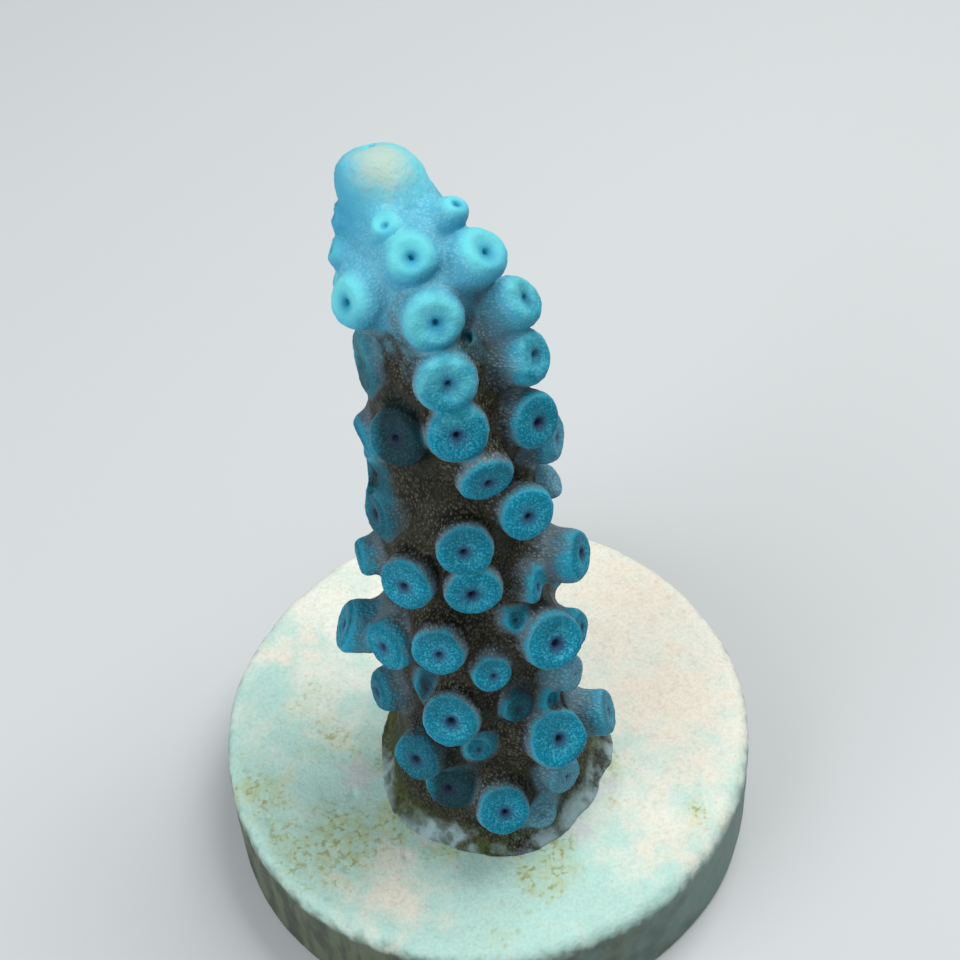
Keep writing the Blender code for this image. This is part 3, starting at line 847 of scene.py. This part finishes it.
def coral_material():
    s = Shader("coral", specular=0.12)
    place = s.place()
    x, _, z = s.parts(place)
    height, tube, face, pore, reach, depth, tone, inset, apart = map(s.layer, NUMBERS)
    spot, wall_place, stem_place = (s.layer(name, "Vector") for name in VECTORS)
    aside, up, mark = s.parts(spot)

    broad, middle, fine = (s.noise(place, scale, 3.0) for scale in (0.4, 1.3, 4.0))
    stem_grain, stem_own = s.grains(stem_place, CELLS)
    wall_grain, wall_own = (s.mix(apart, 0.45, value) for value in s.grains(wall_place, CELLS))
    face_grain, face_own = s.grains(place, FACE_CELLS)
    streaks = s.noise(s.times(s.vector("NORMALIZE", spot), 11.0), 1.0, 2.0)

    # The stem
    ground = s.blend(s.step(middle, 0.4, 0.65), STEM_DARK, STEM_OLIVE)
    clear = s.product(stem_grain, s.step(stem_own, 0.0, 1.0, 0.45, 1.0),
                      s.step(broad, 0.3, 0.62, 0.35, 1.0), s.step(x, -3.5, 2.5, 0.5, 1.0))
    stem = s.blend(clear, ground, STEM_GRAIN)

    # The tubes' walls, blue at the rim, then mauve, and as dark as the stem at the root
    worn = s.ragged(depth, middle, 0.25)
    dark = s.blend(s.step(worn, 0.15, 1.05), WALL_RIM, WALL_MAUVE)
    light = s.blend(s.step(worn, 0.2, 1.15), WALL_RIM_GRAIN, WALL_MAUVE_GRAIN)
    # painted light: tubes far to either side keep their wall's colours further down
    sideways_lit = s.math("ABSOLUTE", s.math("SUBTRACT", x, STEM_MIDDLE))
    worn = s.math("SUBTRACT", worn, s.step(sideways_lit, 3.2, 5.0, 0.0, 1.1))
    dark = s.blend(s.step(worn, 0.7, 2.0), dark, ground)
    light = s.blend(s.step(worn, 0.8, 2.3), light, STEM_GRAIN)
    shown = s.product(wall_grain, s.step(wall_own, 0.0, 1.0, 0.3, 0.9),
                      s.step(worn, 0.2, 1.2, 0.5, 0.9))
    body = s.blend(tube, stem, s.blend(shown, dark, light))

    # Their faces, with pale rays, a thin painted highlight round the edge, an upper half duller
    # as painted shade and as weaker pigment, and a dark pore
    speck = s.product(face_grain, s.step(face_own, 0.0, 1.0, 0.3, 0.8))
    rays = s.product(s.step(reach, 0.85, 0.3), s.step(streaks, 0.5, 0.62), 0.3)
    # painted shade, and weaker pigment, on each face's upper half
    upper_painted_shade = s.product(s.step(up, 0.0, 0.9), s.step(mark, 0.1, 1.0, 0.05, 0.5))
    hole = s.product(pore, 0.8)
    disc = s.layered(
        FACE_DARK, (speck, FACE_GRAIN), (rays, FACE_RAYS_AND_HIGHLIGHT),
        # a thin painted highlight round the rim, then painted shade on the upper half
        (s.step(reach, 0.91, 0.97, 0.0, 0.22), FACE_RAYS_AND_HIGHLIGHT), (upper_painted_shade, FACE_SHADE),
        (s.step(reach, 0.5, 0.1, 0.0, 0.75), PORE_HALO), (hole, PORE_DARK))
    disc = s.times(disc, s.step(broad, 0.3, 0.7, 0.85, 1.1))

    # Those that are duller, partly as painted shade, and those that are paler; the dull ones keep
    # a painted lit crescent on one side
    dull = s.layered(DULL_DARK, (s.blend(face, wall_grain, speck), DULL_GRAIN), (hole, PORE_DARK))
    grown = s.math("MAXIMUM", tube, face)
    duller = s.math("MAXIMUM", s.math("SUBTRACT", 1.0, tone), 0.0)
    # the dull colour thins out towards one side of each face: a painted lit crescent
    faded_and_shaded = s.product(duller, grown, s.step(aside, 1.05, 0.3, 0.2, 1.0))
    paler = s.product(s.math("MAXIMUM", s.math("SUBTRACT", tone, 1.0), 0.0), grown)
    pale_wall = s.blend(wall_grain, WALL_PALE, WALL_PALE_GRAIN)

    # The pale tip, paler both as new growth and as painted light, with a peach-toned painted
    # highlight near its top, and painted shade on its left and on the lower sides of its corallites
    outer = s.product(tube, s.step(depth, 2.0, 0.4, 0.0, 2.2))
    # Paler higher up: pale new growth, and painted light
    lift = s.ragged(s.total(height, outer), middle, 1.2)
    pale_and_lit = s.product(s.step(lift, 28.5, 36.0), s.math("SUBTRACT", 1.0, faded_and_shaded))
    from_highlight = s.ragged(s.distance(place, TIP_HIGHLIGHT_PLACE), middle, 0.3)
    tip = s.layered(
        TIP_WALL, (s.product(wall_grain, 0.5), TIP_PALE),
        # darker blue round each pore: blue pigment, and painted shade in the dish
        (face, s.blend(s.step(reach, 0.5, 0.12, 0.0, 0.75), TIP_FACE, TIP_CENTRE_BLUE_AND_SHADE)),
        (s.product(pore, 0.6), WALL_RIM),
        (s.product(s.step(up, 0.1, -1.1, 0.0, 0.75), grown), TIP_SHADE),
        (s.step(height, 35.2, 37.4, 0.0, 0.8), TIP_FACE),
        # a peach-toned painted highlight
        (s.step(from_highlight, 2.3, 0.4, 0.0, 0.8), TIP_PEACH_HIGHLIGHT),
        (s.step(s.distance(place, SHADE_PLACE), 3.2, 0.8, 0.0, 0.7), TIP_SHADE))

    # Algae low down, and the foot's pale margin
    patch = s.noise(place, 0.7, 4.0)
    left = s.total(patch, s.step(x, 4.0, -4.0, -0.06, 0.16))
    low = s.step(s.math("SUBTRACT", z, DISC_HEIGHT), 2.4, 0.5, 0.0, 0.9)
    film = s.product(low, s.step(left, 0.4, 0.56))
    frosted = s.total(s.patches(place, FROSTED), s.step(middle, 0.35, 0.65, -0.1, 0.35))
    margin = s.product(s.step(s.ragged(inset, patch, -0.4), 1.3, -0.1), s.step(frosted, 0.0, 0.9))
    colour = s.layered(
        body, (face, disc), (faded_and_shaded, dull), (paler, pale_wall), (pale_and_lit, tip),
        (film, s.blend(s.step(fine, 0.35, 0.6), ALGAE_DARK, ALGAE)),
        (margin, s.blend(s.step(middle, 0.3, 0.6), MARGIN_DARK, MARGIN)))

    # Granules that stand out, less so on the tip and the margin
    relief = s.mix(face, s.blend(tube, stem_grain, wall_grain), s.product(face_grain, 0.5))
    calm = s.math("MAXIMUM", s.step(height, 30.0, 36.0), margin)
    relief = s.product(s.total(relief, s.product(fine, 0.5)), s.step(calm, 0.0, 1.0, 1.0, 0.35))
    return s.finish(colour, s.step(fine, 0.3, 0.7, 0.48, 0.62), relief, 0.03)


# The disc's own mesh: points round it, and rings across its top and down its side
DISC_SIDES = 540
DISC_RING = 0.17
DISC_WAVE = ((2, 0.035, 30.0), (3, 0.03, 75.0), (7, 0.02, 10.0))  # lobes, depth, bearing
DISC_WITHIN = 0.08  # how far inside its CAD shape the edge lies on average
DISC_WAVE_FROM = 0.6  # in its radius
DISC_WEAR = ((0.05, 2.6, 21), (0.03, 0.8, 22), (0.018, 0.3, 23))  # height, width, seed
WEAR_SUNK = 0.35  # how far it is shifted inward, in its height
EDGE_WEAR = (0.7, 0.4, 0.5)  # more on the upper edge: how much, how far out and how wide
FLAT_BELOW = 0.6  # the wear and the pits fade to the underside
UNDERSIDE_RINGS = (14.4, 13.5, 12.0, 10.0, 7.5, 5.0, 2.5, DISC_RING)
PITS = 150
PIT_SIZES = (0.12, 0.42)
PIT_DEPTHS = (0.04, 0.14)
SIDE_PITS = 0.4  # this part of the pits is on its side
LOWEST_PIT = 0.8
# Patches on its top: place, radius and strength
PEACH = (
    (10.5, 1.0, 4.2, 0.9), (11.0, -3.6, 2.6, 0.8), (9.6, -8.6, 2.8, 0.7), (-5.6, -10.4, 3.2, 0.75),
    (-10.9, 6.1, 2.2, 0.6), (8.6, 8.2, 5.0, 0.75),
)
STAINS = (
    (-8.7, -0.3, 2.2, 0.6), (-12.8, -3.7, 2.2, 0.8), (-8.3, -7.5, 3.0, 0.9), (-5.2, -6.9, 2.0, 0.7),
    (2.2, -9.6, 2.0, 0.9), (-2.4, -8.1, 1.4, 0.9), (6.8, -6.0, 1.2, 0.7), (11.3, -7.1, 1.5, 0.7),
    (-11.0, -7.2, 2.4, 0.7), (6.4, -3.4, 1.4, 1.0), (-6.6, -2.4, 1.5, 1.0), (-4.6, -5.2, 1.4, 1.0),
    (-10.2, 2.4, 1.8, 0.4), (3.6, -8.3, 1.2, 1.0), (0.2, -13.0, 1.3, 0.5),
)
# Where the foot's margin is pale, and the pale new growth just outside it
FROSTED = (
    (-5.7, -4.4, 2.1, 1.0), (-3.0, -6.8, 2.2, 1.0), (4.6, -5.6, 2.2, 1.0), (5.9, -2.6, 1.7, 0.9),
    (3.2, -7.6, 1.6, 0.9), (0.5, 3.8, 3.0, 0.6),
)
NEW_GROWTH = (
    (-7.3, -3.0, 1.5, 0.9), (-3.6, -7.2, 1.1, 0.7), (6.0, -4.8, 1.4, 0.9), (4.6, -7.4, 1.2, 0.7),
)
CERAMIC = srgb(226, 228, 216)
MINT = srgb(174, 214, 205)
PEACH_TINT = srgb(231, 221, 205)
STAIN = srgb(176, 182, 108)
STAIN_DARK = srgb(138, 138, 72)
GROWTH = srgb(198, 204, 206)
SIDE_FILM = srgb(82, 90, 66)
SIDE_DARK = srgb(50, 54, 40)
# chalk, and a painted reflection on the right of the side
CHALK_AND_SHEEN = srgb(112, 140, 136)


def ceramic_material():
    s = Shader("ceramic", specular=0.4)
    place = s.place()
    x, y, z = s.parts(place)
    ragged, fine = s.noise(place, 0.4, 5.0), s.noise(place, 5.0, 4.0)
    middle = s.noise(place, 1.6, 4.0)
    bent = s.bent(place, 0.45, 5.0)

    # The top: mint to the front and cream behind, with peach, algae and new growth
    front = s.ragged(s.total(s.product(x, 0.025), s.product(y, 0.045)), ragged, 0.25)
    uneven = s.step(s.noise(place, 0.8, 3.0), 0.3, 0.7, -0.25, 0.2)
    tint = s.total(s.patches(bent, PEACH), uneven)
    film = s.patches(bent, STAINS)
    soft = s.product(s.step(film, 0.0, 0.9), s.step(middle, 0.34, 0.66, 0.16, 0.6))
    flecks = s.step(s.noise(place, 3.2, 5.0), 0.52, 0.68)
    flecks = s.product(flecks, s.step(film, 0.0, 0.9, 0.14, 0.7))
    grown = s.ragged(s.patches(place, NEW_GROWTH), middle, 0.3)
    top = s.layered(
        CERAMIC, (s.step(front, 0.4, -0.45, 0.0, 0.95), MINT),
        (s.step(tint, 0.0, 0.9, 0.0, 0.8), PEACH_TINT), (soft, STAIN), (flecks, STAIN_DARK),
        (s.step(grown, 0.3, 0.7, 0.0, 0.75), GROWTH))
    top = s.times(top, s.step(fine, 0.3, 0.7, 0.93, 1.05))

    # The side: a dark streaked film, and chalk that grows towards the right, partly a painted
    # reflection
    side = s.step(s.ragged(z, middle, 0.2), DISC_HEIGHT - 0.15, DISC_HEIGHT - 1.3, 0.0, 0.96)
    streaked = s.noise(s.vector("MULTIPLY", place, (1.0, 1.0, 0.3)), 1.1, 5.0)
    # chalk patches, and a painted reflection growing towards the right
    chalk_and_sheen = s.total(s.product(x, 0.05), ragged)
    side_film_and_sheen = s.layered(SIDE_DARK, (s.step(streaked, 0.38, 0.62), SIDE_FILM),
                      (s.step(chalk_and_sheen, 0.6, 1.1, 0.0, 0.75), CHALK_AND_SHEEN))
    side_film_and_sheen = s.times(side_film_and_sheen, s.step(fine, 0.3, 0.7, 0.85, 1.12))
    colour = s.blend(side, top, side_film_and_sheen)

    relief = s.total(s.product(fine, 0.6), s.product(s.noise(place, 14.0, 3.0), 0.4))
    return s.finish(colour, s.step(fine, 0.3, 0.7, 0.55, 0.75), relief, 0.05)


def disc_profile():
    """The disc's outline from the middle of its top to the middle of its underside."""
    top = [(r, DISC_HEIGHT) for r in np.arange(DISC_RING, DISC_FLAT, DISC_RING)]
    edge = [(DISC_FLAT + DISC_TOP_ROUNDING * math.sin(turn),
             DISC_SHOULDER + DISC_TOP_ROUNDING * math.cos(turn))
            for turn in np.radians(np.linspace(0.0, 90.0, 9))]
    levels = np.arange(DISC_SHOULDER - DISC_RING, DISC_FOOT_CHAMFER + 0.05, -DISC_RING)
    side = [(DISC_RADIUS, z) for z in levels]
    foot = [(DISC_RADIUS, DISC_FOOT_CHAMFER), (DISC_RADIUS - DISC_FOOT_CHAMFER, 0.0)]
    under = [(r, 0.0) for r in UNDERSIDE_RINGS]
    return np.array(top + edge + side + foot + under)


def worn_disc(radius, z, turn):
    """The worn disc's points, from the radius, height and bearing of each on a clean one."""
    draw = random.Random(RANDOM_SEED + 2)
    wave = sum(depth * np.cos(count * turn + math.radians(shift))
               for count, depth, shift in DISC_WAVE)
    outer = smooth(DISC_WAVE_FROM * DISC_RADIUS, DISC_RADIUS, radius)
    spread = radius * (1.0 + outer * (wave - DISC_WITHIN) / DISC_RADIUS)
    out = np.stack([np.sin(turn), -np.cos(turn), 0.0 * turn], 1)
    points = spread[:, None] * out + z[:, None] * UPWARD
    lean = np.clip((radius - DISC_FLAT) / DISC_TOP_ROUNDING, 0.0, 1.0)[:, None]
    lean = np.where((z < DISC_SHOULDER)[:, None], 1.0, lean)
    way = unit(lean * out + np.sqrt(np.maximum(1.0 - lean * lean, 0.0)) * UPWARD)
    free = smooth(0.0, FLAT_BELOW, z)
    more, where, width = EDGE_WEAR
    beside = (radius - DISC_FLAT - where) / width
    edge = 1.0 + more * np.exp(-beside ** 2) * (z > DISC_HEIGHT - 1.0)
    for size, width, seed in DISC_WEAR:
        bumps = size * free * edge * (lattice_noise(points / width, seed) - WEAR_SUNK)
        points = points + bumps[:, None] * way
    for _ in range(PITS):
        size, deep = draw.uniform(*PIT_SIZES), draw.uniform(*PIT_DEPTHS)
        away, angle = DISC_RADIUS * math.sqrt(draw.random()), draw.uniform(0.0, math.tau)
        height = DISC_HEIGHT
        if draw.random() < SIDE_PITS:
            away, height = DISC_RADIUS, draw.uniform(LOWEST_PIT, DISC_HEIGHT)
        place = (away * math.sin(angle), -away * math.cos(angle), height)
        near = np.linalg.norm(points - place, axis=1) / size
        points = points - (deep * free * (1.0 - smooth(0.0, 1.0, near)))[:, None] * way
    return points


def make_disc(material):
    profile = disc_profile()
    bearing = np.radians(np.arange(DISC_SIDES) * 360.0 / DISC_SIDES)
    radius, z = (np.repeat(column, DISC_SIDES) for column in profile.T)
    points = worn_disc(radius, z, np.tile(bearing, len(profile)))
    here = np.arange(len(points)).reshape(len(profile), DISC_SIDES)
    beside = np.roll(here, -1, axis=1)
    faces = np.stack([here[:-1], here[1:], beside[1:], beside[:-1]], -1).reshape(-1, 4).tolist()
    middle = len(points)
    faces += [(a, b, middle) for a, b in zip(here[0].tolist(), beside[0].tolist())]
    faces += [(b, a, middle + 1) for a, b in zip(here[-1].tolist(), beside[-1].tolist())]
    points = np.vstack([points, [(0.0, 0.0, DISC_HEIGHT), (0.0, 0.0, 0.0)]])
    disc = added_mesh("disc_surface", points, faces, material)
    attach(disc, "root")
    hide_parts("frag_disc")


def make_camera():
    data = bpy.data.cameras.new("camera")
    data.lens, data.sensor_width = CAMERA_LENS, CAMERA_SENSOR
    data.clip_start, data.clip_end = CAMERA_SEES
    place = Matrix.Translation(Vector(CAMERA_PLACE) * MM)
    pitch = Matrix.Rotation(math.radians(90.0 - CAMERA_PITCH), 4, "X")
    roll = Matrix.Rotation(math.radians(-CAMERA_ROLL), 4, "Z")
    camera = added("camera", data)
    camera.matrix_world = place @ pitch @ roll
    bpy.context.scene.camera = camera


FLOOR_SIZE = 10000.0
FLOOR = srgb(200, 204, 206)
WORLD = (0.90, 0.93, 0.95, 1.0)
WORLD_STRENGTH = 0.42
# Lamps: name, place, side, watts and colour; each faces the middle of the coral
LAMPS = (
    ("key", (70.0, 50.0, 200.0), 110.0, 0.34, (1.0, 0.985, 0.96)),
    ("fill", (-150.0, -110.0, 120.0), 160.0, 0.26, (0.95, 0.98, 1.0)),
)
LAMP_AIM = (0.0, 0.0, 22.0)


def make_stage():
    s = Shader("floor")
    s.principled.inputs["Base Color"].default_value = FLOOR
    s.principled.inputs["Roughness"].default_value = 0.9
    half = FLOOR_SIZE / 2
    corners = [(-half, -half, 0.0), (half, -half, 0.0), (half, half, 0.0), (-half, half, 0.0)]
    floor = added_mesh("floor", corners, [(0, 1, 2, 3)], s.material)
    world = bpy.data.worlds.new("studio")
    world.use_nodes = True
    background = world.node_tree.nodes["Background"].inputs
    background["Color"].default_value = WORLD
    background["Strength"].default_value = WORLD_STRENGTH
    bpy.context.scene.world = world
    bpy.context.scene.view_settings.view_transform = "Standard"
    for name, place, side, watts, colour in LAMPS:
        lamp = bpy.data.lights.new(name, "AREA")
        lamp.size, lamp.energy, lamp.color = side * MM, watts, colour
        thing = added(name, lamp)
        thing.location = Vector(place) * MM
        aim = Vector(LAMP_AIM) * MM - thing.location
        thing.rotation_euler = aim.to_track_quat("-Z", "Y").to_euler()


make_camera()
make_stage()
make_coral(coral_material())
make_disc(ceramic_material())
